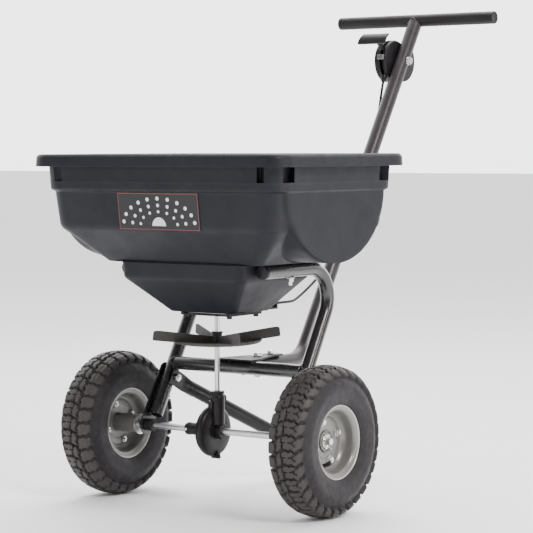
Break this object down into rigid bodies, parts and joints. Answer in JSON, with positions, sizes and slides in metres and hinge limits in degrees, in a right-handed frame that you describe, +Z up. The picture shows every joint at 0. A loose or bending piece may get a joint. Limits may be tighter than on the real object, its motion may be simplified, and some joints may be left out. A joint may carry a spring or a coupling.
{
  "type": "broadcast spreader",
  "caption": "Walk-behind garden spreader: open moulded hopper on a bent-tube frame, pneumatic wheels, geared spinning impeller, sliding gate worked by a lever on the T-handle pole.",
  "frame": {"origin": "on the ground, at the middle of the machine's width and length", "axes": "+Z up, +X along the axle towards the driven wheel, +Y back towards the handle"},
  "size_m": [0.559, 0.8932, 0.9187],
  "materials": {
    "black_paint": "semi-gloss black powder coat",
    "satin_paint": "satin black powder coat",
    "hopper_plastic": "moulded charcoal, fine grain",
    "black_plastic": "moulded black, satin",
    "grey_plastic": "moulded grey, satin",
    "zinc": "bright zinc plate",
    "rim_paint": "warm silver-grey paint, satin",
    "rubber": "matt rubber with moulded tread"
  },
  "bodies": {
    "frame": {"right_side_tube": "black_paint", "left_side_tube": "black_paint", "right_tube_plug": "black_plastic", "left_tube_plug": "black_plastic", "cross_tube": "black_paint", "handle_plate": "black_paint", "handle_tube": "satin_paint", "front_plate_bolt": "zinc", "rear_plate_bolt": "zinc", "handle_bar": "satin_paint", "right_bar_cap": "black_plastic", "left_bar_cap": "black_plastic", "stand": "black_paint", "right_stand_bolt": "zinc", "left_stand_bolt": "zinc", "right_stand_nut": "zinc", "left_stand_nut": "zinc", "right_axle_bracket": "black_paint", "left_axle_bracket": "black_paint", "right_axle_bushing": "black_plastic", "left_axle_bushing": "black_plastic", "hopper": "hopper_plastic", "right_hopper_bolt": "zinc", "left_hopper_bolt": "zinc", "right_hopper_nut": "zinc", "left_hopper_nut": "zinc", "gate_guide": "black_plastic", "shaft_bushing": "black_plastic", "gearbox_left_half": "black_plastic", "gearbox_right_half": "black_plastic", "control_housing": "black_plastic", "control_cover": "black_plastic", "control_bolt": "zinc", "control_cable": "black_plastic"},
    "drive_axle": {"axle": "zinc", "drive_gear": "grey_plastic", "right_hub": "zinc", "right_rim_outer_half": "rim_paint", "right_rim_inner_half": "rim_paint", "right_tyre": "rubber", "right_valve_stem": "black_plastic", "right_wheel_washer": "zinc", "right_cotter_pin": "zinc", "left_wheel_washer": "zinc", "left_cotter_pin": "zinc"},
    "free_wheel": {"left_hub": "zinc", "left_inner_bearing": "zinc", "left_outer_bearing": "zinc", "left_rim_outer_half": "rim_paint", "left_rim_inner_half": "rim_paint", "left_tyre": "rubber", "left_valve_stem": "black_plastic"},
    "impeller_shaft": {"drive_shaft": "zinc", "pinion": "grey_plastic", "impeller": "black_plastic", "agitator": "zinc"},
    "gate": {"gate": "zinc"},
    "lever": {"control_lever": "black_plastic"},
    "rate_stop": {"rate_stop": "grey_plastic"}
  },
  "joints": [
    {"name": "axle_spin", "type": "hinge", "parent": "frame", "child": "drive_axle", "pos_m": [0, -0.2451, 0.134], "axis": [1, 0, 0], "continuous": true},
    {"name": "free_wheel_spin", "type": "hinge", "parent": "frame", "child": "free_wheel", "pos_m": [0, -0.2451, 0.134], "axis": [1, 0, 0], "continuous": true},
    {"name": "impeller_spin", "type": "hinge", "parent": "frame", "child": "impeller_shaft", "pos_m": [0, -0.2451, 0.3], "axis": [0, 0, 1], "continuous": true},
    {"name": "lever_swing", "type": "hinge", "parent": "frame", "child": "lever", "pos_m": [0, 0.38103, 0.822], "axis": [-1, 0, 0], "range_deg": [0, 50]},
    {"name": "gate_slide", "type": "slide", "parent": "frame", "child": "gate", "axis": [0, -1, 0], "range_m": [0, 0.032]},
    {"name": "stop_adjust", "type": "hinge", "parent": "frame", "child": "rate_stop", "pos_m": [0, 0.38103, 0.822], "axis": [1, 0, 0], "range_deg": [0, 40]}
  ],
  "couplings": [
    {"joint": "impeller_spin", "follows": "axle_spin", "ratio": 5},
    {"joint": "gate_slide", "follows": "lever_swing", "m_per_rad": 0.0366}
  ]
}
